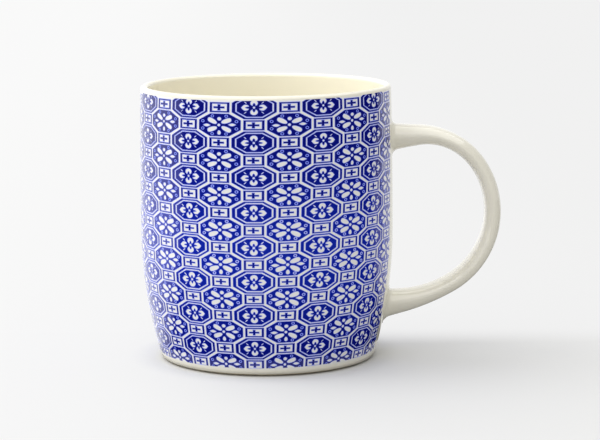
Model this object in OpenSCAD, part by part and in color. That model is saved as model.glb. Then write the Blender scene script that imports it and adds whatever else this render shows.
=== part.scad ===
// Glazed mug with a strap handle and a printed band.
// The cup and the handle are cast apart, luted together with slip, fired, glazed and printed.
// Millimetres. +Z runs up the cup's axis, the handle points to +X, and the origin is the
// centre of the foot, on the table.

/* [Cup] */
// Height of the mug, over the glaze on the rim
mug_h = 92.2; // [84:0.1:110]
// Outside diameter at the rim, over the glaze
rim_d = 84; // [74:0.5:96]
// Outside diameter at the widest line of the belly, over the glaze
belly_d = 85; // [76:0.5:98]
// Height of the belly's widest line
belly_z = 43; // [34:0.5:52]
// Radius of the curve that runs from the belly down to the foot
lower_curve_r = 143.5; // [115:0.5:220]
// Thickness of the clay wall, from the floor up to the belly
wall_t = 3.2; // [2.4:0.1:4.8]
// Thickness of the clay at the lip, to which the wall thins and where it is rounded over
lip_t = 2.1; // [1.6:0.1:4]
// Thickness of the clay floor
floor_t = 4; // [3:0.1:7]
// Radius of the corner between the wall and the floor, inside
corner_r = 9; // [4:0.5:16]

/* [Foot] */
// Radius of the rounded edge under the wall
foot_round_r = 0.7; // [0.5:0.1:2]
// Gap between that edge and the table
foot_gap = 0.5; // [0.3:0.1:1]
// How far the ring that the mug stands on lies inside that edge
foot_inset = 1.8; // [1:0.1:4]
// Width of the flat ring that the mug stands on
foot_w = 2.4; // [1.5:0.1:5]
// Height of the recess inside the foot ring
recess_h = 2; // [1.2:0.1:3.5]
// Height above the table at which the glaze in the recess begins
bare_h = 1; // [0.4:0.1:1.1]

/* [Handle] */
// Width of the strap, over the glaze
handle_w = 12.5; // [9:0.5:16]
// Thickness of the strap halfway along, over the glaze
handle_t = 5.5; // [4.5:0.1:8]
// Squareness of the strap's section: 2 is an ellipse
section_power = 2.8; // [2:0.1:4]
// How far the middle of the strap stands out from the wall
handle_reach = 34; // [28:0.5:42]
// Distance from the rim down to the middle of the upper root
upper_root_drop = 18.1; // [14:0.1:24]
// Height of the middle of the lower root
lower_root_z = 17.1; // [14:0.1:22]
// Straight run out of the upper root
upper_lead = 8.5; // [4:0.5:12]
// Straight run into the lower root
lower_lead = 5.7; // [3:0.1:8]
// Angle at which the strap leaves the upper root, above level
handle_rise = 4; // [0:1:12]
// Angle at which the strap comes down to the lower root, below level
handle_fall = 10; // [4:1:16]
// How far the strap has turned below level where its upper bend ends
upper_bend_end = 55; // [48:1:62]
// How far the strap has turned below level where its back bend ends
back_bend_end = 150; // [142:1:156]
// Extra thickness at the upper root
upper_root_extra = 3.5; // [1:0.1:5]
// Extra thickness at the lower root
lower_root_extra = 4; // [1:0.1:5]
// Length over which each root tapers to the strap's own thickness
root_taper = 22; // [14:1:30]
// Size of the flare where a root meets the wall
root_flare = 1.8; // [0.8:0.1:3]
// Thickness of the slip that lutes a root to the wall
slip_t = 0.8; // [0.5:0.1:1.5]

/* [Glaze and print] */
// Thickness of the fired glaze
glaze_t = 0.25; // [0.2:0.01:0.4]
// Thickness of the printed film on the glaze
film_t = 0.08; // [0.06:0.01:0.15]
// Distance from the rim down to the top of the print
print_below_rim = 1.5; // [1.4:0.1:12]
// Height of the bottom of the print
print_above_table = 2.6; // [2:0.1:20]
// Bare glaze between the flare of the handle and the print
print_clear = 2.7; // [1:0.1:12]

/* [Hidden] */
$fn = 160;

// Steps along the curves of the cup's section
wall_steps = 20;
upper_steps = 10;
round_steps = 10;

// Points around the strap, and the spacing of its rings
strap_sides = 28;
ring_pitch = 2.6;
// How far the strap is carried into the wall before it is trimmed to its seat
root_depth = 2.4;

// The clay cup
belly_r = belly_d/2 - glaze_t;
rim_r = rim_d/2 - glaze_t;
lip_r = lip_t/2;
lip_z = mug_h - glaze_t - lip_r;
floor_z = recess_h + floor_t;

// Centre of the lower curve, of the rounded edge under it and of the inside corner.
// Both rounds touch the curve from within, so their centres lie on the line to its centre.
curve_c = [belly_r - lower_curve_r, belly_z];
foot_z = foot_gap + foot_round_r;
foot_c = [curve_c.x + leg(lower_curve_r - foot_round_r, belly_z - foot_z), foot_z];
foot_a = atan2(foot_c.y - curve_c.y, foot_c.x - curve_c.x);
inner_curve_r = lower_curve_r - wall_t;
corner_c = [curve_c.x + leg(inner_curve_r - corner_r, belly_z - floor_z - corner_r), floor_z + corner_r];
corner_a = atan2(corner_c.y - curve_c.y, corner_c.x - curve_c.x);
ring_r = foot_c.x - foot_inset;
recess_c = [ring_r - foot_w - recess_h, 0];

// The other side of a right triangle
function leg(long, side) = sqrt(long*long - side*side);

// Points of an arc about c, from angle a to angle b, both ends included
function arc(c, r, a, b, steps) =
    [for (i = [0:steps]) let (t = a + (b - a)*i/steps) c + r*[cos(t), sin(t)]];

function reversed(list) = [for (i = [len(list) - 1:-1:0]) list[i]];

function rest(list) = [for (i = [1:len(list) - 1]) list[i]];

// Points of one face of the upper wall, from the belly to the lip. The radius eases from the belly's
// to the lip's with the square of the height, so that the face stands upright at the belly.
function upper_wall(at_belly, at_lip) =
    [for (i = [0:upper_steps]) let (u = i/upper_steps)
        [at_belly - (at_belly - at_lip)*u*u, belly_z + (lip_z - belly_z)*u]];

// Points of the outside, from the rounded edge of the foot to the lip, set out by outset
function outer_wall(outset) =
    concat(arc(curve_c, lower_curve_r + outset, foot_a, 0, wall_steps),
           rest(upper_wall(belly_r + outset, rim_r + outset)));

// Points of the outside, the lip, the inside wall and the floor, set out from the clay
function skin(outset) =
    concat(outer_wall(outset),
           rest(arc([rim_r - lip_r, lip_z], lip_r + outset, 0, 180, round_steps)),
           rest(reversed(upper_wall(belly_r - wall_t - outset, rim_r - lip_t - outset))),
           rest(arc(curve_c, inner_curve_r - outset, 0, corner_a, wall_steps)),
           rest(arc(corner_c, corner_r - outset, corner_a, -90, round_steps)),
           [[0, floor_z + outset]]);

// Radius of the outside at height z, set out by outset
function wall_r(z, outset) =
    z < belly_z ? curve_c.x + leg(lower_curve_r + outset, belly_z - z)
                : belly_r + outset - (belly_r - rim_r)*pow((z - belly_z)/(lip_z - belly_z), 2);

// Angle of the outside's normal above level, at height z
function wall_lean(z) =
    z < belly_z ? asin((z - belly_z)/lower_curve_r)
                : atan(2*(belly_r - rim_r)*(z - belly_z)/pow(lip_z - belly_z, 2));

// The handle's middle line: a straight run, three bends and a straight run.
// Its three radii come from the reach, and from the run's end meeting the lower root.
upper_root = [wall_r(mug_h - upper_root_drop, glaze_t), mug_h - upper_root_drop];
lower_root = [wall_r(lower_root_z, glaze_t), lower_root_z];
heading = [handle_rise, -upper_bend_end, -back_bend_end, handle_fall - 180];

// How far a bend of radius 1 goes along x and z, from heading a to heading b
function bend(a, b) = [sin(a) - sin(b), cos(b) - cos(a)];

bend_1 = bend(heading[0], heading[1]);
bend_2 = bend(heading[1], heading[2]);
bend_3 = bend(heading[2], heading[3]);
// What the bends have to cover between the two straight runs
span = lower_root - upper_root - upper_lead*[cos(heading[0]), sin(heading[0])]
       - lower_lead*[cos(heading[3]), sin(heading[3])];
reach_left = handle_reach - upper_lead*cos(handle_rise);
to_back = bend(heading[1], -90).x;
// The third radius is taken out of the two equations for x and z, which leaves two radii
side_1 = bend_1.y*bend_3.x - bend_1.x*bend_3.y;
side_2 = bend_2.y*bend_3.x - bend_2.x*bend_3.y;
side_span = span.y*bend_3.x - span.x*bend_3.y;
det = bend_1.x*side_2 - to_back*side_1;
upper_bend_r = (reach_left*side_2 - to_back*side_span)/det;
back_bend_r = (bend_1.x*side_span - side_1*reach_left)/det;
lower_bend_r = (span.x - bend_1.x*upper_bend_r - bend_2.x*back_bend_r)/bend_3.x;

// The legs of the middle line: length and radius, with radius 0 for a straight run
legs = [[upper_lead, 0],
        [arc_length(upper_bend_r, heading[0] - heading[1]), upper_bend_r],
        [arc_length(back_bend_r, heading[1] - heading[2]), back_bend_r],
        [arc_length(lower_bend_r, heading[2] - heading[3]), lower_bend_r],
        [lower_lead, 0]];
path_l = legs[0][0] + legs[1][0] + legs[2][0] + legs[3][0] + legs[4][0];

function arc_length(r, turn) = r*turn*PI/180;

// Place and heading after going s along a leg of radius r from p with heading a
function along(p, a, s, r) =
    r == 0 ? [p + s*[cos(a), sin(a)], a]
           : let (b = a - s/r*180/PI) [p + r*bend(a, b), b];

// Place and heading at distance s along the middle line, which goes straight on past both ends
function on_path(s, at = [upper_root, heading[0]], i = 0) =
    i == len(legs) - 1 || s <= legs[i][0]
        ? along(at[0], at[1], s, legs[i][1])
        : on_path(s - legs[i][0], along(at[0], at[1], legs[i][0], legs[i][1]), i + 1);

// Share of a root's own shape that is left at distance d from the wall
function root_share(d) = d > root_taper ? 0 : pow(1 - max(d, 0)/root_taper, 2);

// Flare at distance d from the wall: a hollow curve outside it, straight on inside it
function flare(d) =
    d > root_flare ? 0 : pow(root_flare - max(d, 0), 2)/root_flare;

// Turn of a ring, so that the rings at a root lie along the wall
upper_turn = wall_lean(upper_root.y) - heading[0];
lower_turn = wall_lean(lower_root.y) - heading[3] - 180;

// How far a circle of radius r has fallen back at y to the side of its middle
function fall_back(r, y) = r - leg(r, y);

// One ring of points around the strap at distance s, set out by outset from the clay.
// The section is a superellipse, with its thickness across the middle line and its width along Y.
// At a root the ring falls back with the round of the wall.
function ring(s, outset) =
    let (at = on_path(s),
         upper = root_share(s),
         lower = root_share(path_l - s),
         turn = at[1] + upper_turn*upper + lower_turn*lower,
         spread = flare(s) + flare(path_l - s) - glaze_t + outset,
         half_t = (handle_t + upper_root_extra*upper + lower_root_extra*lower)/2 + spread,
         half_w = handle_w/2 + spread)
    [for (j = [0:strap_sides - 1])
        let (a = 360*j/strap_sides,
             p = at[0] + half_t*bulge(cos(a))*[-sin(turn), cos(turn)],
             y = half_w*bulge(sin(a)),
             back = upper*fall_back(upper_root.x, y) + lower*fall_back(lower_root.x, y))
        [p.x - back, y, p.y]];

function bulge(v) = sign(v)*pow(abs(v), 2/section_power);

// Distances of the rings along the middle line: close together in the flares
flare_stops = [-root_depth, 0, root_flare/4, root_flare/2, root_flare];
shaft_l = path_l - 2*root_flare;
shaft_steps = ceil(shaft_l/ring_pitch);
shaft_stops = [for (i = [1:shaft_steps - 1]) root_flare + shaft_l*i/shaft_steps];
far_stops = reversed([for (d = flare_stops) path_l - d]);
upper_stops = concat(flare_stops, [shaft_stops[0]]);
lower_stops = concat([shaft_stops[shaft_steps - 2]], far_stops);
all_stops = concat(flare_stops, shaft_stops, far_stops);

// Faces between rings of the strap, numbered from first on, turned over for an inside
function side_faces(rings, first, inside) =
    [for (k = [0:rings - 2], j = [0:strap_sides - 1], half = [0, 1])
        let (a = first + k*strap_sides + j,
             b = first + k*strap_sides + (j + 1) % strap_sides,
             face = half == 0 ? [a, b, b + strap_sides] : [a, b + strap_sides, a + strap_sides])
        inside ? reversed(face) : face];

// Faces that close a ring, numbered from first on: strips across it, from side to side
function cap_faces(first, far) =
    [for (j = [0:strap_sides/2 - 1])
        let (k = strap_sides - j,
             strip = j == 0 ? [0, 1, k - 1]
                   : j == strap_sides/2 - 1 ? [j, j + 1, k]
                   : [j, j + 1, k - 1, k],
             face = [for (i = strip) first + i])
        far ? face : reversed(face)];

function all_points(stops, outset) = [for (s = stops, p = ring(s, outset)) p];

// A length of the strap, through the given stops
module strap(stops, outset) {
    last = (len(stops) - 1)*strap_sides;
    polyhedron(
        points = all_points(stops, outset),
        faces = concat(side_faces(len(stops), 0, false), cap_faces(0, false), cap_faces(last, true)));
}

// A skin of the given thickness around the whole strap, open at both ends
module strap_skin(thickness) {
    rings = len(all_stops);
    inner = rings*strap_sides;
    last = inner - strap_sides;
    polyhedron(
        points = concat(all_points(all_stops, thickness), all_points(all_stops, 0)),
        faces = concat(side_faces(rings, 0, false), side_faces(rings, inner, true),
                       [for (j = [0:strap_sides - 1], half = [0, 1])
                           let (k = (j + 1) % strap_sides)
                           half == 0 ? [j, inner + j, inner + k] : [j, inner + k, k]],
                       [for (j = [0:strap_sides - 1], half = [0, 1])
                           let (k = (j + 1) % strap_sides)
                           half == 0 ? [last + j, inner + last + k, inner + last + j]
                                     : [last + j, last + k, inner + last + k]]));
}

// The cup as one solid without its hollow, set out from the clay
module cup_block(outset) {
    wall = outer_wall(outset);
    rotate_extrude()
        polygon(concat([[0, wall[0].y]], wall, [[0, lip_z]]));
}

// The slip between one end of the handle and the wall
module slip_joint(stops) {
    color("ivory")
        difference() {
            intersection() {
                strap(stops, 0);
                cup_block(slip_t);
            }
            cup_block(0);
        }
}

// The cast cup: wall, floor and foot ring
module body() {
    color("linen")
        rotate_extrude()
            polygon(concat([[0, recess_h]],
                           arc(recess_c, recess_h, 90, 0, round_steps),
                           [[ring_r, 0], [ring_r, foot_gap]],
                           arc(foot_c, foot_round_r, -90, foot_a, round_steps),
                           rest(skin(0))));
}

// The cast strap, its ends cut to the round of the wall
module handle() {
    color("linen")
        difference() {
            strap(all_stops, 0);
            cup_block(slip_t);
        }
}

module upper_slip_joint() {
    slip_joint(upper_stops);
}

module lower_slip_joint() {
    slip_joint(lower_stops);
}

// The glaze on the cup: outside, lip and inside in one coat, open where the handle is luted on
module cup_glaze() {
    color("cornsilk")
        difference() {
            rotate_extrude()
                polygon(concat(skin(0), reversed(skin(glaze_t))));
            strap(upper_stops, 0);
            strap(lower_stops, 0);
        }
}

// The glaze in the recess under the floor
module underside_glaze() {
    color("cornsilk")
        rotate_extrude()
            intersection() {
                polygon(concat([[0, recess_h]],
                               arc(recess_c, recess_h, 90, 0, round_steps),
                               arc(recess_c, recess_h - glaze_t, 0, 90, round_steps),
                               [[0, recess_h - glaze_t]]));
                translate([0, bare_h])
                    square([ring_r, recess_h]);
            }
}

// The glaze on the handle and on the slip at its roots
module handle_glaze() {
    color("cornsilk")
        difference() {
            strap_skin(glaze_t);
            cup_block(glaze_t);
        }
}

// The printed film, wrapped round the cup from one side of the handle to the other
module print_band() {
    gap_w = handle_w + 2*(root_flare + print_clear);
    print_h = mug_h - print_below_rim - print_above_table;
    color("mediumblue")
        difference() {
            rotate_extrude()
                intersection() {
                    polygon(concat(outer_wall(glaze_t), reversed(outer_wall(glaze_t + film_t))));
                    translate([0, print_above_table])
                        square([belly_d + rim_d, print_h]);
                }
            translate([0, -gap_w/2, 0])
                cube([belly_d + rim_d, gap_w, mug_h]);
        }
}

body();
handle();
upper_slip_joint();
lower_slip_joint();
cup_glaze();
underside_glaze();
handle_glaze();
print_band();
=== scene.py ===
"""A glazed mug: the cup, its strap handle and the blue trellis printed round it.

Shapes are worked out in millimetres as numpy arrays, and a mesh is put down in metres.
+Z runs up the cup's axis, the handle points to +X, and the table is at z = 0.
"""

import bmesh
import bpy
import numpy as np
from mathutils import Matrix, Vector
from mathutils.geometry import delaunay_2d_cdt


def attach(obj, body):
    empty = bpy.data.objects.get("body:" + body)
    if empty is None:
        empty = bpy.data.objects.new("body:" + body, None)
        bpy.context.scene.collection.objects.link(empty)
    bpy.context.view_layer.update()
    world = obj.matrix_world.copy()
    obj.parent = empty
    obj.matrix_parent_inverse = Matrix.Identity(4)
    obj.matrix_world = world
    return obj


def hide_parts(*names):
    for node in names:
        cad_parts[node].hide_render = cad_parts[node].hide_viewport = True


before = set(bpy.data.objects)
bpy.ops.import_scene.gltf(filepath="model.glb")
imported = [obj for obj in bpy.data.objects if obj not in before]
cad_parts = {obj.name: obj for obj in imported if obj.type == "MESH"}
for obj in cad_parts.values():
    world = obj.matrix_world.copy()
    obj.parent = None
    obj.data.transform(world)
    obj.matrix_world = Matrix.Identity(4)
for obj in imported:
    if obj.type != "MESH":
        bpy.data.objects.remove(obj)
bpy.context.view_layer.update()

MM = 0.001

# Points this close, in millimetres, are one: in shapes, and where the printed sheet is trimmed
POINT_CLOSE = 1e-5
TRIM_CLOSE = 1e-4

# The cup, in millimetres: sizes of the bare clay, and the height over the glaze
BELLY_R = 42.25
BELLY_Z = 43.0
RIM_R = 41.75
WALL = 3.2
LIP = 2.1
GLAZE = 0.25
HEIGHT = 92.2
LIP_Z = HEIGHT - GLAZE - LIP / 2
FLOOR_Z = 6.0

# Radius of the curve from the belly down to the foot, and of the round between wall and floor inside
CURVE_R = 143.5
CORNER_R = 9.0

# The foot: round of its edge, how high that edge stands, how far in the ring lies and how wide it is
FOOT_R = 0.4
FOOT_GAP = 0.6
FOOT_INSET = 2.0
FOOT_W = 2.4

# The recess inside the ring: its height, and how far up its glaze starts
RECESS = 2.0
BARE_H = 1.0

# Centres of the lower curve, the foot's edge, the inside corner and the recess, and angles where they meet
CURVE = np.array([BELLY_R - CURVE_R, BELLY_Z])
FOOT_Z = FOOT_GAP + FOOT_R
FOOT = np.array([CURVE[0] + np.sqrt((CURVE_R - FOOT_R) ** 2 - (BELLY_Z - FOOT_Z) ** 2), FOOT_Z])
FOOT_A = np.degrees(np.arctan2(*(FOOT - CURVE)[::-1]))
INNER_R = CURVE_R - WALL
CORNER_H = BELLY_Z - FLOOR_Z - CORNER_R
CORNER = np.array([CURVE[0] + np.sqrt((INNER_R - CORNER_R) ** 2 - CORNER_H ** 2), FLOOR_Z + CORNER_R])
CORNER_A = np.degrees(np.arctan2(*(CORNER - CURVE)[::-1]))
RING_R = FOOT[0] - FOOT_INSET
HOLLOW = np.array([RING_R - FOOT_W - RECESS, 0.0])


def arc(centre, radius, start, end, steps):
    """Points of an arc: centre plus radius times (cos, sin) of angles spaced evenly from start to end."""
    a = np.radians(np.linspace(start, end, steps + 1))
    return np.asarray(centre) + radius * np.stack([np.cos(a), np.sin(a)], 1)


def level_run(r, z, steps):
    """Points of a level line at height z, spaced evenly from radius r to the axis."""
    return np.stack([np.linspace(r, 0, steps + 1), np.full(steps + 1, z)], 1)


def upper_wall(at_belly, at_lip, steps):
    """A face of the wall above the belly: its radius eases to the lip's with the square of the height."""
    u = np.linspace(0, 1, steps + 1)
    return np.stack([at_belly + (at_lip - at_belly) * u ** 2, BELLY_Z + (LIP_Z - BELLY_Z) * u], 1)


def outside_r(z, outset):
    """Radius of the outside at height z: the lower arc under the belly, the easing curve above it."""
    low = CURVE[0] + np.sqrt((CURVE_R + outset) ** 2 - (BELLY_Z - z) ** 2)
    high = BELLY_R + outset - (BELLY_R - RIM_R) * ((z - BELLY_Z) / (LIP_Z - BELLY_Z)) ** 2
    return np.where(z < BELLY_Z, low, high)


def outside_lean(z):
    """Angle, in radians, of the outside's normal above level at height z."""
    low = np.arcsin((np.minimum(z, BELLY_Z) - BELLY_Z) / CURVE_R)
    high = np.arctan(2 * (BELLY_R - RIM_R) * (z - BELLY_Z) / (LIP_Z - BELLY_Z) ** 2)
    return np.where(z < BELLY_Z, low, high)


def joined(*runs):
    """One line of points from several runs, each starting where the last one ended."""
    return np.concatenate([runs[0]] + [run[1:] for run in runs[1:]])


def cup_skin(outset):
    """Section of the cup from its foot up the outside, over the lip and down inside to the axis."""
    return joined(
        arc(CURVE, CURVE_R + outset, FOOT_A, 0, 34),
        upper_wall(BELLY_R + outset, RIM_R + outset, 30),
        arc([RIM_R - LIP / 2, LIP_Z], LIP / 2 + outset, 0, 180, 24),
        upper_wall(BELLY_R - WALL - outset, RIM_R - LIP - outset, 20)[::-1],
        arc(CURVE, INNER_R - outset, 0, CORNER_A, 16),
        arc(CORNER, CORNER_R - outset, CORNER_A, -90, 14),
        level_run(CORNER[0], FLOOR_Z + outset, 16),
    )


def superellipse(a, cos_power, sin_power):
    """The cosine and sine of angles, raised to 2 over a power with their signs kept: a power of 2 gives an
    ellipse, a higher one flatter sides and a lower one ridges."""
    c, s = np.cos(a), np.sin(a)
    return np.sign(c) * np.abs(c) ** (2 / cos_power), np.sign(s) * np.abs(s) ** (2 / sin_power)


def new_piece(name, points, faces, material, maps=None):
    """Puts points in millimetres, faces, and a map of corner places into a smooth mesh object."""
    mesh = bpy.data.meshes.new(name)
    mesh.from_pydata((points * MM).tolist(), [], faces)
    if maps is not None:
        mesh.uv_layers.new(name="OFBake").data.foreach_set("uv", np.asarray(maps, np.float32).ravel())
    mesh.polygons.foreach_set("use_smooth", np.ones(len(mesh.polygons), bool))
    mesh.materials.append(material)
    mesh.update()
    piece = bpy.data.objects.new(name, mesh)
    bpy.context.collection.objects.link(piece)
    return piece


def mesh_points(mesh):
    """The places of a mesh's points, one row each."""
    at = np.empty(3 * len(mesh.vertices), np.float32)
    mesh.vertices.foreach_get("co", at)
    return at.reshape(-1, 3).astype(float)


def mark(piece, name, share):
    """Gives each point of a piece its share, from 0 to 1, of what its material reads by name."""
    marks = piece.data.attributes.new(name, "FLOAT", "POINT")
    marks.data.foreach_set("value", np.asarray(share, np.float32))


def ring_faces(rings, sides, v):
    """Four-sided faces between rings of points, numbered ring by ring, and their map: the share of the way
    round, by each ring's own v."""
    i, j = np.meshgrid(np.arange(rings - 1), np.arange(sides), indexing="ij")
    k = (j + 1) % sides
    quads = np.stack([i * sides + j, i * sides + k, (i + 1) * sides + k, (i + 1) * sides + j], -1)
    maps = np.stack([np.stack([j, j + 1, j + 1, j], -1) / sides,
                     np.stack([v[i], v[i], v[i + 1], v[i + 1]], -1)], -1)
    return quads.reshape(-1, 4).tolist(), maps.reshape(-1, 2)


def revolved(name, section, material, sides=192):
    """A surface of revolution: point i of the section, turned by angle j, is (r cos, r sin, z). Where the
    section starts or ends on the axis, it closes in one point. The map is angle by length along it."""
    a = 2 * np.pi * np.arange(sides) / sides
    steps = np.r_[0, np.cumsum(np.linalg.norm(np.diff(section, axis=0), axis=1))]
    v = steps / steps[-1]
    off_axis = section[:, 0] > POINT_CLOSE
    rings, ring_v = section[off_axis], v[off_axis]
    r, z = rings[:, :1], rings[:, 1:]
    points = np.stack([r * np.cos(a), r * np.sin(a), z + 0 * a], -1).reshape(-1, 3)
    faces, maps = ring_faces(len(rings), sides, ring_v)
    j = np.arange(sides)
    for end, ring, one, two in ((0, 0, j + 1, j), (-1, (len(rings) - 1) * sides, j, j + 1)):
        if not off_axis[end]:
            tip = np.full(sides, len(points))
            points = np.concatenate([points, [[0, 0, section[end, 1]]]])
            faces += np.stack([ring + one % sides, ring + two % sides, tip], 1).tolist()
            fan = np.stack([np.stack([one, two, j + 0.5], 1) / sides,
                            np.tile([ring_v[end], ring_v[end], v[end]], (sides, 1))], -1)
            maps = np.concatenate([maps, fan.reshape(-1, 2)])
    return new_piece(name, points, faces, material, maps)


# The handle: its section, how far out its middle line goes, the line's two straight runs and its headings
# between the bends, in millimetres and radians
HANDLE_W = 12.5
HANDLE_T = 5.5
FACE_POWER = 3.2
EDGE_POWER = 1.75
REACH = 34.0
UPPER_LEAD = 8.5
LOWER_LEAD = 5.7
HEADINGS = np.radians([4.0, -55.0, -150.0, -170.0])

# Its roots: heights, how much thicker they are, how long that takes, the flare at the wall, the slip, and
# how far the coat of glaze runs into the wall
UPPER_ROOT_Z = 74.1
LOWER_ROOT_Z = 17.1
UPPER_EXTRA = 3.5
LOWER_EXTRA = 4.0
TAPER = 22.0
FLARE = 1.8
SLIP = 0.55
SUNK = 0.8
UPPER_ROOT = np.array([float(outside_r(UPPER_ROOT_Z, GLAZE)), UPPER_ROOT_Z])
LOWER_ROOT = np.array([float(outside_r(LOWER_ROOT_Z, GLAZE)), LOWER_ROOT_Z])

# How finely the strap is drawn: points round it, stops along each flare and along the shaft, and least step
STRAP_SIDES = 64
FLARE_STOPS = 9
SHAFT_STOPS = 150
LEAST_STEP = 0.05


def step_along(heading):
    """One millimetre at a heading, along x and z."""
    return np.array([np.cos(heading), np.sin(heading)])


def bend(a, b):
    """How far a bend of radius 1 goes along x and z while its heading falls from a to b."""
    return np.array([np.sin(a) - np.sin(b), np.cos(b) - np.cos(a)])


def bend_radii():
    """The three radii: they carry the line to its reach, and end it on the lower root."""
    leads = UPPER_LEAD * step_along(HEADINGS[0]) + LOWER_LEAD * step_along(HEADINGS[3])
    bends = np.stack([bend(HEADINGS[i], HEADINGS[i + 1]) for i in range(3)], 1)
    to_back = [bends[0, 0], bend(HEADINGS[1], -np.pi / 2)[0], 0]
    left = REACH - UPPER_LEAD * np.cos(HEADINGS[0])
    return np.linalg.solve(np.vstack([bends, to_back]), [*(LOWER_ROOT - UPPER_ROOT - leads), left])


RADII = bend_radii()
LEGS = np.r_[UPPER_LEAD, RADII * -np.diff(HEADINGS), LOWER_LEAD]
LENGTH = LEGS.sum()


def on_line(s):
    """Place and heading at each distance s: leg by leg, from the leg's start along a line or a bend."""
    starts = np.r_[0, np.cumsum(LEGS)[:-1]]
    place, heading = UPPER_ROOT.copy(), HEADINGS[0]
    at = np.zeros((len(s), 2))
    to = np.zeros(len(s))
    for i, leg in enumerate(LEGS):
        on = (s >= starts[i]) | (i == 0)
        run = s[on] - starts[i]
        if i in (0, len(LEGS) - 1):
            at[on] = place + run[:, None] * step_along(heading)
            to[on] = heading
            place = place + leg * step_along(heading)
        else:
            r = RADII[i - 1]
            to[on] = heading - run / r
            at[on] = place + r * np.stack(bend(heading, to[on]), -1)
            place = place + r * bend(heading, HEADINGS[i])
            heading = HEADINGS[i]
    return at, to


def strap(name, material, start, end, inset=0.0):
    """A section carried along the middle line from start to end, and closed at both: a superellipse with
    flat faces and softly ridged edges. It thickens to each root with the square of the share of the taper
    that is left, flares in a quarter round at the wall, and there lies along the wall."""
    flare = FLARE * (1 - np.sin(np.radians(np.linspace(90, 0, FLARE_STOPS))))
    shaft = np.linspace(FLARE, LENGTH - FLARE, SHAFT_STOPS)[1:-1]
    d = np.r_[flare, shaft, (LENGTH - flare)[::-1]]
    d = np.r_[start, d[(d > start + LEAST_STEP) & (d < end - LEAST_STEP)], end]
    at, heading = on_line(d)
    upper = np.clip(1 - np.maximum(d, 0) / TAPER, 0, 1) ** 2
    lower = np.clip(1 - np.maximum(LENGTH - d, 0) / TAPER, 0, 1) ** 2
    near = np.clip(np.minimum(d, LENGTH - d), 0, FLARE)
    spread = FLARE - np.sqrt(FLARE ** 2 - (FLARE - near) ** 2) - inset
    tilt = heading + upper * (outside_lean(UPPER_ROOT_Z) - HEADINGS[0])
    tilt = tilt + lower * (outside_lean(LOWER_ROOT_Z) - HEADINGS[3] - np.pi)
    half_t = (HANDLE_T + UPPER_EXTRA * upper + LOWER_EXTRA * lower) / 2 + spread
    half_w = HANDLE_W / 2 + spread
    a = -2 * np.pi * np.arange(STRAP_SIDES) / STRAP_SIDES
    across, along = superellipse(a, EDGE_POWER, FACE_POWER)
    y = half_w[:, None] * along
    back = upper[:, None] * (UPPER_ROOT[0] - np.sqrt(UPPER_ROOT[0] ** 2 - y ** 2))
    back = back + lower[:, None] * (LOWER_ROOT[0] - np.sqrt(LOWER_ROOT[0] ** 2 - y ** 2))
    x = at[:, :1] - half_t[:, None] * across * np.sin(tilt)[:, None] - back
    z = at[:, 1:] + half_t[:, None] * across * np.cos(tilt)[:, None]
    ends = np.stack([at[[0, -1], 0], [0, 0], at[[0, -1], 1]], 1)
    points = np.concatenate([np.stack([x, y, z], -1).reshape(-1, 3), ends])
    faces, maps = ring_faces(len(d), STRAP_SIDES, (d - d[0]) / (d[-1] - d[0]))
    j = np.arange(STRAP_SIDES)
    k = (j + 1) % STRAP_SIDES
    last = (len(d) - 1) * STRAP_SIDES
    tip = np.full(STRAP_SIDES, len(d) * STRAP_SIDES)
    caps = np.concatenate([np.stack([k, j, tip], 1), np.stack([last + j, last + k, tip + 1], 1)])
    maps = np.concatenate([maps, np.zeros((caps.size, 2))])
    return new_piece(name, points, faces + caps.tolist(), material, maps)


# The printed sheet, in millimetres: its width runs round the cup from the front, its height from the table
SHEET_R = 42.5
SHEET_START = -189.4
SHEET_END = 55.0
SHEET_FOOT = 3.0
SHEET_TOP = 90.9
COLUMN = 11.12
FIRST_COLUMN = -4.3
ROW = 11.27
ROSETTE_Z = 83.12
CROSS_WIDE = 3.31
CROSS_HIGH = 1.62

# As it was laid, its columns came to lean a little, it was pulled sideways by a cubic of the height, and
# its rows rise a little to the handle. For these the height counts in half sheets from a middle.
SHEET_MIDDLE = 46.5
SHEET_HALF = 44.0
COLUMN_LEAN = 0.62
PULL = (2.75, 0.73, -2.2)
ROW_RISE = 0.27

# The ink: how far off the glaze it lies, how far it crept as it melted and how much less where it is thin,
# how wide its cobalt bled past its edge, and how far a motif is drawn in to leave room for that
INK_LIFT = 0.04
CREEP = 0.05
CREEP_LOST = 0.08
HALO = 0.14
DRAWN_IN = 0.08

# The most of a bare shape's half width that the halo takes up
HALO_SHARE = 0.6

# Where up the cup the ink lies thin and over what height, how thin at most, and what share of that is left
# on the crosses, whose fine lines hold more ink
THIN_Z = 40.0
THIN_SPREAD = 26.0
THIN_MOST = 0.75
THIN_ON_CROSS = 0.5


def edges(corners, step=1.7):
    """A closed outline through the corners, with points no further apart than step."""
    runs = []
    for p, q in zip(corners, np.roll(corners, -1, 0)):
        n = max(1, int(np.ceil(np.linalg.norm(q - p) / step)))
        runs.append(p + (q - p) * np.arange(n)[:, None] / n)
    return np.concatenate(runs)


def octagon(wide, high, side, top, x=0.0):
    """A long octagon with its middle at x, by half sizes: wide, high, its upright sides, its level ones."""
    half = np.array([[wide, -side], [wide, side], [top, high], [-top, high]])
    return edges(np.concatenate([half, -half]) + [x, 0])


def bar(wide, high, x=0.0):
    """A rectangle with its middle at x, by half sizes: wide, high."""
    return edges(np.array([[-wide, -high], [wide, -high], [wide, high], [-wide, high]]) + [x, 0])


def placed(p, q, x, z, turn):
    """Points p along and q across, turned by an angle in degrees and moved to x and z."""
    c, s = np.cos(np.radians(turn)), np.sin(np.radians(turn))
    return np.stack([x + p * c - q * s, z + p * s + q * c], 1)


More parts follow.
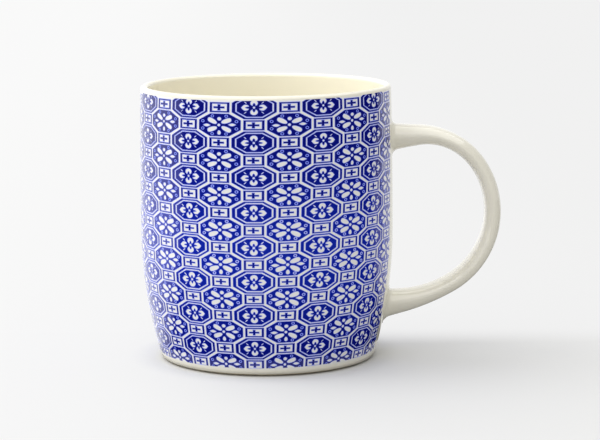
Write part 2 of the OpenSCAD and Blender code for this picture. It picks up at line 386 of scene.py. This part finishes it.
def oval(x, z, long, wide, turn=0.0, taper=0.0, power=2.0, steps=16):
    """A superellipse by half sizes, turned by an angle and made narrower towards its start by the taper."""
    a = 2 * np.pi * np.arange(steps) / steps
    p, q = superellipse(a, power, power)
    return placed(long * p, wide * q * (1 + taper * np.cos(a)), x, z, turn)


def leaf(x, z, long, wide, turn=0.0, blunt=1.0, steps=14):
    """A leaf by half sizes, with a point at each end or rounded at its start: its half width is a power of
    a cosine."""
    t = np.linspace(-1, 1, steps // 2 + 1)
    q = wide * np.cos(np.pi * t / 2) ** np.where(t > 0, 1.0, 1 / blunt)
    return placed(np.r_[t, t[-2:0:-1]] * long, np.r_[-q, q[-2:0:-1]], x, z, turn)


def rosette():
    """Outlines in painting order, with True for ink and False for bare glaze: a rosette of four petals, two
    leaves and two buds, with eight rings round it."""
    layers = [(octagon(7.02, 3.64, 1.56, 3.14), True)]
    for x in (-1, 1):
        for z in (-1, 1):
            turn = np.degrees(np.arctan2(z * 0.385, x)) - 4
            layers.append((oval(2.34 * x, 1.29 * z, 1.84, 0.85, turn, 0.18, 2.4), False))
        layers.append((leaf(4.24 * x, 0.12 * x, 1.5, 0.58), False))
    layers.append((oval(0, 1.98, 0.8, 0.67), False))
    layers.append((oval(0, -2.4, 0.84, 0.7, -90, 0.15), False))
    layers.append((oval(-0.1, 0, 0.62, 0.55, steps=12), False))
    for x, z in ((2.33, 2.84), (5.64, 1.16)):
        for x_sign, z_sign in ((1, 1), (-1, 1), (-1, -1), (1, -1)):
            layers.append((oval(x_sign * x, z_sign * z, 0.65, 0.55, steps=10), False))
            layers.append((oval(x_sign * x, z_sign * z, 0.28, 0.23, steps=8), True))
    return layers


def blossom():
    """Outlines in painting order: a lined octagon with a flower of four lobes, each with a tear of ink, and
    a dash between one lobe and the next."""
    layers = [(octagon(7.06, 3.7, 1.51, 3.14), True),
              (octagon(6.15, 3.34, 1.35, 2.65, 0.15), False),
              (octagon(5.48, 2.83, 1.17, 2.4, 0.12), True)]
    for z in (-1, 1):
        layers.append((oval(0, 1.44 * z, 1.32, 1.06), False))
        layers.append((oval(0, 0.78 * z, 0.56, 0.36, 90 * z, -0.3, steps=10), True))
    for x in (-1, 1):
        layers.append((leaf(2.79 * x, 0, 1.44, 1.08, 90 - 90 * x, 3.0, 18), False))
        layers.append((oval(1.74 * x, 0, 0.84, 0.23, 90 - 90 * x, -0.4, steps=10), True))
        for z in (-1, 1):
            turn = np.degrees(np.arctan2(z * 0.8, x))
            layers.append((oval(2.72 * x, 1.6 * z, 0.62, 0.22, turn, steps=8), False))
    layers.append((oval(0, 0, 0.48, 0.46, steps=10), False))
    return layers


def cross():
    """Outlines in painting order: a framed panel with a cross in it."""
    return [(bar(CROSS_WIDE, CROSS_HIGH), True),
            (bar(2.6, 1.28), False),
            (bar(1.72, 0.19, -0.15), True),
            (bar(0.36, 0.84, -0.15), True)]


def area(outline):
    """Signed area: half the sum of the cross products of neighbouring points."""
    after = np.roll(outline, -1, 0)
    return (outline[:, 0] * after[:, 1] - outline[:, 1] * after[:, 0]).sum() / 2


def half_width(outline):
    """Area over girth: never more than half the width of a shape."""
    girth = np.linalg.norm(np.roll(outline, -1, 0) - outline, axis=1).sum()
    return np.abs(area(outline)) / girth


def crept(outline, gain):
    """An outline moved outwards by a gain, or inwards by a negative one: each corner goes along the sum of
    the normals of its two sides, so that the sides move by the gain. A sharp corner goes by twice the gain
    at most."""
    side = np.roll(outline, -1, 0) - outline
    outwards = np.sign(area(outline)) * np.stack([side[:, 1], -side[:, 0]], 1)
    normal = outwards / np.linalg.norm(side, axis=1)[:, None]
    way = normal + np.roll(normal, 1, 0)
    return outline + gain * way / np.maximum((way ** 2).sum(1) / 2, 0.5)[:, None]


def ringed(layers, creep):
    """Two outlines for each layer, the outer one first. Ink crept over its edge as it melted, apart from a
    motif's own edge, which is drawn in. Its cobalt bled past that edge by the halo, out into the bare glaze
    round ink and into bare shapes."""
    outlines = []
    for i, (outline, ink) in enumerate(layers):
        if ink:
            edge = crept(outline, creep if i else -DRAWN_IN)
            outlines += [crept(edge, HALO), edge]
        else:
            edge = crept(outline, -creep)
            outlines += [edge, crept(edge, -min(HALO, HALO_SHARE * half_width(edge)))]
    return outlines


def shown(layers, over):
    """What a triangle under these outlines shows, painted in order: 0 bare glaze, 1 the halo, 2 ink."""
    state = 0
    for i in sorted(over):
        ink, inner = layers[i // 2][1], i % 2
        if inner:
            state = 2 if ink else 0
        elif state == (0 if ink else 2):
            state = 1
    return state


def inked(layers, creep, pitch=1.9):
    """Triangles of a motif's ink and of its halo, whose points carry a third place: 0 for ink, 1 for halo.
    All outlines are cut into triangles, and those that show ink or halo are kept. A grid of loose points of
    this pitch lets the triangles follow the cup's round."""
    outlines = ringed(layers, creep)
    low, high = outlines[0].min(0), outlines[0].max(0)
    gx, gz = [np.linspace(low[i], high[i], int((high[i] - low[i]) / pitch) + 2)[1:-1] for i in (0, 1)]
    loose = np.stack(np.meshgrid(gx, gz), -1).reshape(-1, 2)
    sizes = np.cumsum([0] + [len(outline) for outline in outlines])
    rings = [list(range(a, b)) for a, b in zip(sizes[:-1], sizes[1:])]
    places = [Vector(p) for p in np.concatenate(outlines + [loose]).tolist()]
    points, _, faces, _, _, within = delaunay_2d_cdt(places, [], rings, 0, POINT_CLOSE)
    states = np.array([shown(layers, over) for over in within])
    points = np.array([p[:] for p in points])
    faces = np.array(faces)
    p, q, r = (points[faces[:, i]] for i in range(3))
    turned = (q - p)[:, 0] * (r - p)[:, 1] - (q - p)[:, 1] * (r - p)[:, 0] < 0
    faces[turned] = faces[turned][:, ::-1]
    ink, ink_faces = np.unique(faces[states == 2], return_inverse=True)
    halo, halo_faces = np.unique(faces[states == 1], return_inverse=True)
    marked = np.concatenate([np.c_[points[ink], 0 * ink], np.c_[points[halo], 0 * halo + 1]])
    return marked, np.concatenate([ink_faces.reshape(-1, 3), halo_faces.reshape(-1, 3) + len(ink)])


def stamped(motif, centres):
    """Copies of a motif's triangles, moved to each centre."""
    points, faces = motif
    copies = (np.c_[centres, 0 * centres[:, 0]][:, None] + points[None]).reshape(-1, 3)
    return copies, (faces[None] + len(points) * np.arange(len(centres))[:, None, None]).reshape(-1, 3)


def along_row(columns, z):
    """Places of these columns in the row at height z."""
    return np.stack([FIRST_COLUMN + COLUMN * columns, np.full(len(columns), z)], 1)


def thinness(z):
    """How thin the ink lies at a height: a bell curve of the height, 1 round the middle of the cup."""
    return np.exp(-((z - THIN_Z) / THIN_SPREAD) ** 2)


def laid(u, z):
    """Where a point of the flat sheet lies: its angle round the cup from the front, and its height."""
    t = (z - SHEET_MIDDLE) / SHEET_HALF
    side = np.sin(u / SHEET_R)
    pull = PULL[0] * t + PULL[1] * t ** 2 + PULL[2] * t ** 3
    return (u + COLUMN_LEAN * t + pull * side) / SHEET_R, z + ROW_RISE * side


def flat_print():
    """Triangles of the flat sheet: rows of motifs, trimmed straight on its four sides. A point has its
    place along the sheet, its height, and 0 for ink or 1 for the halo."""
    even, odd = np.arange(-18, 8, 2), np.arange(-17, 8, 2)
    rosette_rows = ROSETTE_Z + ROW * np.arange(0, -8, -1)
    blossom_rows = rosette_rows + ROW / 2
    sets = []
    for z in np.concatenate([rosette_rows, blossom_rows]):
        creep = CREEP - CREEP_LOST * thinness(z)
        on, off, motif = (odd, even, rosette()) if z in rosette_rows else (even, odd, blossom())
        sets.append(stamped(inked(motif, creep), along_row(on, z)))
        sets.append(stamped(inked(cross(), creep), along_row(off, z)))
    starts = np.cumsum([0] + [len(points) for points, faces in sets])
    all_points = np.concatenate([points for points, faces in sets])
    all_faces = np.concatenate([faces + n for (points, faces), n in zip(sets, starts)])
    mesh = bpy.data.meshes.new("flat_print")
    mesh.from_pydata(all_points.tolist(), [], all_faces.tolist())
    sheet = bmesh.new()
    sheet.from_mesh(mesh)
    for place, outwards in (((SHEET_END, 0, 0), (1, 0, 0)), ((SHEET_START, 0, 0), (-1, 0, 0)),
                            ((0, SHEET_TOP, 0), (0, 1, 0)), ((0, SHEET_FOOT, 0), (0, -1, 0))):
        parts = sheet.verts[:] + sheet.edges[:] + sheet.faces[:]
        bmesh.ops.bisect_plane(sheet, geom=parts, dist=TRIM_CLOSE, plane_co=place, plane_no=outwards,
                               clear_outer=True)
    bmesh.ops.triangulate(sheet, faces=sheet.faces[:])
    sheet.to_mesh(mesh)
    sheet.free()
    points = mesh_points(mesh)
    corners = np.empty(len(mesh.loops), np.int32)
    mesh.loops.foreach_get("vertex_index", corners)
    bpy.data.meshes.remove(mesh)
    return points, corners.reshape(-1, 3)


def printed_sheet(name, material):
    """The ink on the cup: the flat sheet laid round it, each point just off the glaze at its height."""
    flat, faces = flat_print()
    u, z, halo = flat.T
    maps = np.stack([(u - SHEET_START) / (SHEET_END - SHEET_START), z / HEIGHT], 1)[faces.ravel()]
    column, row = np.round((u - FIRST_COLUMN) / COLUMN), np.round((z - ROSETTE_Z) / ROW * 2)
    aside, above = u - FIRST_COLUMN - COLUMN * column, z - ROSETTE_Z - ROW / 2 * row
    on_cross = (column + row) % 2 == 0
    on_cross &= (np.abs(aside) < CROSS_WIDE + HALO) & (np.abs(above) < CROSS_HIGH + HALO)
    a, z = laid(u, z)
    r = outside_r(z, GLAZE + INK_LIFT)
    lean = outside_lean(z)
    points = np.stack([r * np.sin(a), -r * np.cos(a), z], 1)
    normals = np.stack([np.sin(a) * np.cos(lean), -np.cos(a) * np.cos(lean), np.sin(lean)], 1)
    piece = new_piece(name, points, faces.tolist(), material, maps)
    piece.data.normals_split_custom_set_from_vertices(normals.tolist())
    mark(piece, "thin", THIN_MOST * thinness(z) * np.where(on_cross, THIN_ON_CROSS, 1))
    mark(piece, "halo", halo)
    return piece


# Places of the two colours among the sockets of a mix, and of the mixed one among its outputs
MIX_A = 6
MIX_B = 7
MIX_OUT = 2


def linear(code):
    """An sRGB hex colour as linear red, green, blue and alpha."""
    c = np.array([int(code[i:i + 2], 16) for i in (1, 3, 5)]) / 255
    return (*np.where(c <= 0.04045, c / 12.92, ((c + 0.055) / 1.055) ** 2.4), 1.0)


def node(tree, kind, sockets=None, **settings):
    """Adds a node with its settings. A socket takes a value, or a link from another node's output."""
    made = tree.nodes.new(kind)
    for name, value in settings.items():
        setattr(made, name, value)
    for name, value in (sockets or {}).items():
        if isinstance(value, bpy.types.NodeSocket):
            tree.links.new(value, made.inputs[name])
        else:
            made.inputs[name].default_value = value
    return made


def new_material(name):
    """An empty node material: the material, its tree and its surface socket."""
    material = bpy.data.materials.new(name)
    material.use_nodes = True
    material.node_tree.nodes.clear()
    out = material.node_tree.nodes.new("ShaderNodeOutputMaterial")
    return material, material.node_tree, out.inputs["Surface"]


def dipped_glaze():
    """Cream glaze, a clear gloss over white clay, dipped and fired: even and warm, a little deeper in slow
    clouds where it ran thicker, whiter under the print, and with a face that waves by microns over a
    centimetre or so. Inside the cup and on its lip it is painted lighter, as painted light for the light
    they catch, and all down the cup's outside it is a little lighter than on the handle."""
    material, tree, surface = new_material("cream_glaze")
    place = node(tree, "ShaderNodeTexCoord").outputs["Object"]
    cloud = node(tree, "ShaderNodeTexNoise", {"Vector": place, "Scale": 1 / (22 * MM), "Detail": 3.0,
                                              "Roughness": 0.5})
    cream = node(tree, "ShaderNodeMix", {"Factor": cloud.outputs["Fac"], MIX_A: linear("#E3DFCE"),
                                         MIX_B: linear("#EBE7D9")}, data_type="RGBA")
    # Painted light: the mark named pale paints the cup lighter inside and on its lip, for the light they
    # catch, and a little lighter outside
    pale = node(tree, "ShaderNodeAttribute", attribute_name="pale")
    painted_lighter = node(tree, "ShaderNodeMix", {"Factor": pale.outputs["Fac"], MIX_A: cream.outputs[MIX_OUT],
                                         MIX_B: linear("#F8F3E0")}, data_type="RGBA")
    bled = node(tree, "ShaderNodeAttribute", attribute_name="bled")
    tone = node(tree, "ShaderNodeMix", {"Factor": bled.outputs["Fac"], MIX_A: painted_lighter.outputs[MIX_OUT],
                                        MIX_B: linear("#EDECEA")}, data_type="RGBA")
    wave = node(tree, "ShaderNodeTexNoise", {"Vector": place, "Scale": 1 / (11 * MM), "Detail": 1.0})
    swell = node(tree, "ShaderNodeBump", {"Height": wave.outputs["Fac"], "Strength": 0.12,
                                          "Distance": 0.2 * MM})
    sheen = node(tree, "ShaderNodeMapRange", {"Value": cloud.outputs["Fac"], "To Min": 0.06,
                                              "To Max": 0.11})
    gloss = node(tree, "ShaderNodeBsdfPrincipled", {"Base Color": tone.outputs[MIX_OUT], "IOR": 1.5,
                                                    "Roughness": sheen.outputs[0],
                                                    "Normal": swell.outputs[0]})
    tree.links.new(gloss.outputs[0], surface)
    return material


def screened_cobalt():
    """Cobalt transfer, a screened ceramic ink fired on the glaze: deep blue where it lies thick, lighter
    round the middle of the cup where it lies thin, a little uneven as the screen laid it, pale blue along
    its edges where it bled, and as glossy as the glaze."""
    material, tree, surface = new_material("cobalt_transfer")
    place = node(tree, "ShaderNodeTexCoord").outputs["Object"]
    screen = node(tree, "ShaderNodeTexNoise", {"Vector": place, "Scale": 1 / (9 * MM), "Detail": 4.0,
                                               "Roughness": 0.6})
    thin = node(tree, "ShaderNodeAttribute", attribute_name="thin")
    thinner = node(tree, "ShaderNodeMath", {0: screen.outputs["Fac"], 1: 0.2, 2: thin.outputs["Fac"]},
                   operation="MULTIPLY_ADD")
    blue = node(tree, "ShaderNodeMix", {"Factor": thinner.outputs[0], MIX_A: linear("#00006A"),
                                        MIX_B: linear("#0E27A9")}, data_type="RGBA")
    halo = node(tree, "ShaderNodeAttribute", attribute_name="halo")
    edged = node(tree, "ShaderNodeMix", {"Factor": halo.outputs["Fac"], MIX_A: blue.outputs[MIX_OUT],
                                         MIX_B: linear("#8494FC")}, data_type="RGBA")
    ink = node(tree, "ShaderNodeBsdfPrincipled", {"Base Color": edged.outputs[MIX_OUT], "IOR": 1.5,
                                                  "Roughness": 0.12})
    tree.links.new(ink.outputs[0], surface)
    return material


def biscuit():
    """Fired clay left bare on the foot: matt, a warm tan with a fine grain."""
    material, tree, surface = new_material("bare_clay")
    place = node(tree, "ShaderNodeTexCoord").outputs["Object"]
    grain = node(tree, "ShaderNodeTexNoise", {"Vector": place, "Scale": 1 / (0.6 * MM), "Detail": 4.0,
                                              "Roughness": 0.7})
    tan = node(tree, "ShaderNodeMix", {"Factor": grain.outputs["Fac"], MIX_A: linear("#B9A880"),
                                       MIX_B: linear("#D6C9A6")}, data_type="RGBA")
    tooth = node(tree, "ShaderNodeBump", {"Height": grain.outputs["Fac"], "Strength": 0.3,
                                          "Distance": 0.08 * MM})
    matt = node(tree, "ShaderNodeBsdfPrincipled", {"Base Color": tan.outputs[MIX_OUT], "Roughness": 0.75,
                                                   "IOR": 1.5, "Normal": tooth.outputs[0]})
    tree.links.new(matt.outputs[0], surface)
    return material


cream_glaze = dipped_glaze()
cobalt_transfer = screened_cobalt()
bare_clay = biscuit()

# The cup's clay: the whole cast section, from the middle of the recess round to the middle of the floor
clay_section = joined(
    cup_skin(0)[::-1],
    arc(FOOT, FOOT_R, FOOT_A, -90, 12),
    np.array([[FOOT[0], FOOT_GAP], [RING_R, FOOT_GAP], [RING_R, 0], [HOLLOW[0] + RECESS, 0]]),
    arc(HOLLOW, RECESS, 0, 90, 12),
    level_run(HOLLOW[0], RECESS, 8),
)[::-1]
clay_body = revolved("clay_body", clay_section, bare_clay)
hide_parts("body")

# The glaze on the cup: at the foot it thins to half and turns a few degrees round the edge. It is painted
# lighter inside, as painted light for the light the inside and lip catch, less so outside, and changes
# across the lip.
EDGE_TURN = 4
PALE_OUTSIDE = 0.3
glaze_edge = arc(FOOT, FOOT_R + GLAZE / 2, FOOT_A - EDGE_TURN, FOOT_A, 3)
glaze_on_cup = revolved("glaze_on_cup", np.concatenate([glaze_edge, cup_skin(GLAZE)]), cream_glaze)
glaze_x, glaze_y, glaze_z = mesh_points(glaze_on_cup.data).T / MM
depth = outside_r(glaze_z, GLAZE) - np.hypot(glaze_x, glaze_y)
mark(glaze_on_cup, "pale", np.clip(1.5 * depth / LIP - 0.5, PALE_OUTSIDE, 1))
print_start, print_end = laid(SHEET_START, glaze_z)[0], laid(SHEET_END, glaze_z)[0]
printed = np.mod(np.arctan2(glaze_x, -glaze_y) - print_start, 2 * np.pi) < print_end - print_start
printed &= (depth < LIP / 2) & (glaze_z > SHEET_FOOT) & (glaze_z < SHEET_TOP)
mark(glaze_on_cup, "bled", printed)
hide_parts("cup_glaze")

# The glaze underneath: from the middle of the recess out and down to where the foot is bare
bare_turn = np.degrees(np.arcsin(BARE_H / (RECESS - GLAZE)))
under = joined(arc(HOLLOW, RECESS - GLAZE, bare_turn, 90, 12), level_run(HOLLOW[0], RECESS - GLAZE, 8))
glaze_underneath = revolved("glaze_underneath", under[::-1], cream_glaze)
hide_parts("underside_glaze")

# The handle: its clay, the slip at its two roots, and the coat of glaze over them
clay_handle = strap("clay_handle", bare_clay, SLIP, LENGTH - SLIP, GLAZE)
slip_at_top = strap("slip_at_top", bare_clay, -GLAZE, SLIP, GLAZE)
slip_at_foot = strap("slip_at_foot", bare_clay, LENGTH - SLIP, LENGTH + GLAZE, GLAZE)
glaze_on_handle = strap("glaze_on_handle", cream_glaze, -SUNK, LENGTH + SUNK)
for piece, solid, slot in ((clay_handle, "handle", "fired_clay"),
                           (slip_at_top, "upper_slip_joint", "fired_slip"),
                           (slip_at_foot, "lower_slip_joint", "fired_slip"),
                           (glaze_on_handle, "handle_glaze", "cream_glaze")):
    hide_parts(solid)

# The print: ink on the cup from one side of the handle to the other
trellis_print = printed_sheet("trellis_print", cobalt_transfer)
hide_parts("print_band")

for piece in (clay_body, glaze_on_cup, glaze_underneath, clay_handle, slip_at_top, slip_at_foot,
              glaze_on_handle, trellis_print):
    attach(piece, "root")


def seamless_paper():
    """White paper, matt and seamless, painted a little lighter on the left and darker to the right, as
    painted light falling off from the left. What the camera and the gloss see of it is in part a white
    glow, painted light from no lamp: most on the left and behind the mug, where it paints out the mug's
    shadow, less on the right, and none close to the mug, so that it looks brightly lit and keeps the mug's
    shadow. The light it throws back is a grey's."""
    material, tree, surface = new_material("white_table")
    ray = node(tree, "ShaderNodeLightPath").outputs
    direct = node(tree, "ShaderNodeMath", {0: ray["Is Camera Ray"], 1: ray["Is Glossy Ray"]},
                  operation="MAXIMUM")
    seen = node(tree, "ShaderNodeMath", {0: direct.outputs[0], 1: ray["Is Transmission Ray"]},
                operation="MAXIMUM")
    place = node(tree, "ShaderNodeTexCoord").outputs["Object"]
    along = node(tree, "ShaderNodeSeparateXYZ", {0: place})
    # Painted light: the paper and its glow grow darker from left to right, for light that falls off away
    # from the left
    painted_falloff = node(tree, "ShaderNodeMapRange", {"Value": along.outputs["X"], "From Min": -200 * MM,
                                             "From Max": 200 * MM}, interpolation_type="SMOOTHSTEP")
    paper = node(tree, "ShaderNodeMix", {"Factor": painted_falloff.outputs[0], MIX_A: linear("#DFDFDE"),
                                         MIX_B: linear("#D6D6D5")}, data_type="RGBA")
    shade = node(tree, "ShaderNodeMix", {"Factor": seen.outputs[0], MIX_A: linear("#C8C8C8"),
                                         MIX_B: paper.outputs[MIX_OUT]}, data_type="RGBA")
    white = node(tree, "ShaderNodeMix", {"Factor": painted_falloff.outputs[0], MIX_A: linear("#F9F9F9"),
                                         MIX_B: linear("#F1F1F1")}, data_type="RGBA")
    lit = node(tree, "ShaderNodeBsdfDiffuse", {"Color": shade.outputs[MIX_OUT]})
    glow = node(tree, "ShaderNodeEmission", {"Color": white.outputs[MIX_OUT], "Strength": 1.0})
    # Painted light: the glow's share, most on the left and behind the mug, paints out the mug's shadow
    # there; close to the mug there is none
    away = node(tree, "ShaderNodeVectorMath", {0: place}, operation="LENGTH")
    clear = node(tree, "ShaderNodeMapRange", {"Value": away.outputs["Value"], "From Min": 35 * MM,
                                              "From Max": 48 * MM}, interpolation_type="SMOOTHSTEP")
    leftwards = node(tree, "ShaderNodeMapRange", {"Value": along.outputs["X"], "From Min": -50 * MM,
                                                  "From Max": 25 * MM, "To Min": 0.8, "To Max": 0.16},
                     interpolation_type="SMOOTHSTEP")
    behind = node(tree, "ShaderNodeMapRange", {"Value": along.outputs["Y"], "From Min": 2 * MM,
                                               "From Max": 42 * MM, "To Min": 0.0, "To Max": 0.85},
                  interpolation_type="SMOOTHSTEP")
    most = node(tree, "ShaderNodeMath", {0: leftwards.outputs[0], 1: behind.outputs[0]},
                operation="MAXIMUM")
    around = node(tree, "ShaderNodeMath", {0: clear.outputs[0], 1: most.outputs[0]}, operation="MULTIPLY")
    share = node(tree, "ShaderNodeMath", {0: seen.outputs[0], 1: around.outputs[0]}, operation="MULTIPLY")
    both = node(tree, "ShaderNodeMixShader", {0: share.outputs[0], 1: lit.outputs[0], 2: glow.outputs[0]})
    tree.links.new(both.outputs[0], surface)
    return material


# The table, as far as the camera sees
TABLE = 6000.0
table_corners = TABLE * np.array([[-1, -1, 0], [1, -1, 0], [1, 1, 0], [-1, 1, 0]])
table = new_piece("table", table_corners, [(0, 1, 2, 3)], seamless_paper())

# Soft light from all round, stronger from the left and from above: its strength is 1 plus the product of
# the way it comes from and this lean
SKY_LEAN = (-0.6, 0.12, 0.25)
world = bpy.data.worlds.new("studio")
bpy.context.scene.world = world
world.use_nodes = True
sky_tree = world.node_tree
sky_tree.nodes.clear()
sky_way = node(sky_tree, "ShaderNodeTexCoord").outputs["Generated"]
sky_lean = node(sky_tree, "ShaderNodeVectorMath", {0: sky_way, 1: SKY_LEAN}, operation="DOT_PRODUCT")
sky_strength = node(sky_tree, "ShaderNodeMath", {0: sky_lean.outputs["Value"], 1: 1.0}, operation="ADD")
sky = node(sky_tree, "ShaderNodeBackground", {"Color": (1, 1, 1, 1), "Strength": sky_strength.outputs[0]})
node(sky_tree, "ShaderNodeOutputWorld", {"Surface": sky.outputs[0]})

# A wide sun from the left and above: its width in degrees, its strength, and the way its light goes
SUN_WIDTH = 32
SUN_STRENGTH = 0.55
SUN_WAY = Vector((0.62, -0.04, -0.78))
lamp = bpy.data.lights.new("left_light", "SUN")
lamp.angle = np.radians(SUN_WIDTH)
lamp.energy = SUN_STRENGTH
left_light = bpy.data.objects.new("left_light", lamp)
left_light.rotation_euler = SUN_WAY.to_track_quat("-Z", "Y").to_euler()
bpy.context.collection.objects.link(left_light)

# Cards on the table start just off the cup and a little over the table, in millimetres
CARD_NEAR = 43
CARD_FAR = 3000
CARD_LIFT = 0.5


def sector(start, end):
    """Two lines of points: arcs at two distances round the mug, between two angles from the front."""
    a = np.radians(np.linspace(start, end, 33))
    ring = np.stack([np.sin(a), -np.cos(a), 0 * a], 1)
    return np.stack([ring * CARD_NEAR, ring * CARD_FAR]) + [0, 0, CARD_LIFT]


def card(name, lines, strength):
    """A glowing card between two lines of points, seen in nothing but the mug's own gloss."""
    material, tree, surface = new_material(name)
    glow = node(tree, "ShaderNodeEmission", {"Strength": strength})
    tree.links.new(glow.outputs[0], surface)
    n = len(lines[0])
    i = np.arange(n - 1)
    faces = np.stack([i, i + n, i + n + 1, i + 1], 1)
    piece = new_piece(name, np.reshape(lines, (-1, 3)), faces.tolist(), material)
    piece.visible_camera = False
    piece.visible_diffuse = False
    piece.visible_shadow = False
    piece.visible_transmission = False


# A soft box over the mug, a black card in front and on the right, and a white one on the left and behind
box_lines = np.array([[[-800, -1500, 1000], [900, -1500, 1000]], [[-800, 700, 1000], [900, 700, 1000]]])
card("soft_box", box_lines, 3.2)
card("black_card", sector(-80, 122), 0.0)
card("white_card", sector(-188, -92), 1.4)

# The camera: where it stands in metres, how far it looks down and to the side and how it is tilted, in
# radians, and its focal length in pixels of a picture of this width
CAMERA_PLACE = (0, -0.75829, 0.165)
DOWN = 0.1557
ASIDE = 0.0147
TILT = -0.0069
FOCAL_PIXELS = 2268.8
PICTURE_WIDTH = 600
SENSOR_WIDTH = 36.0
ahead = Vector((np.sin(ASIDE) * np.cos(DOWN), np.cos(ASIDE) * np.cos(DOWN), -np.sin(DOWN)))
level = Vector((np.cos(ASIDE), -np.sin(ASIDE), 0))
over = level.cross(ahead)
right = level * np.cos(TILT) + over * np.sin(TILT)
top = over * np.cos(TILT) - level * np.sin(TILT)
lens = bpy.data.cameras.new("camera")
lens.sensor_width = SENSOR_WIDTH
lens.lens = FOCAL_PIXELS / PICTURE_WIDTH * SENSOR_WIDTH
camera = bpy.data.objects.new("camera", lens)
camera_turn = Matrix((right, top, -ahead)).transposed().to_4x4()
camera.matrix_world = Matrix.Translation(CAMERA_PLACE) @ camera_turn
bpy.context.collection.objects.link(camera)
bpy.context.scene.camera = camera
bpy.context.scene.view_settings.view_transform = "Standard"
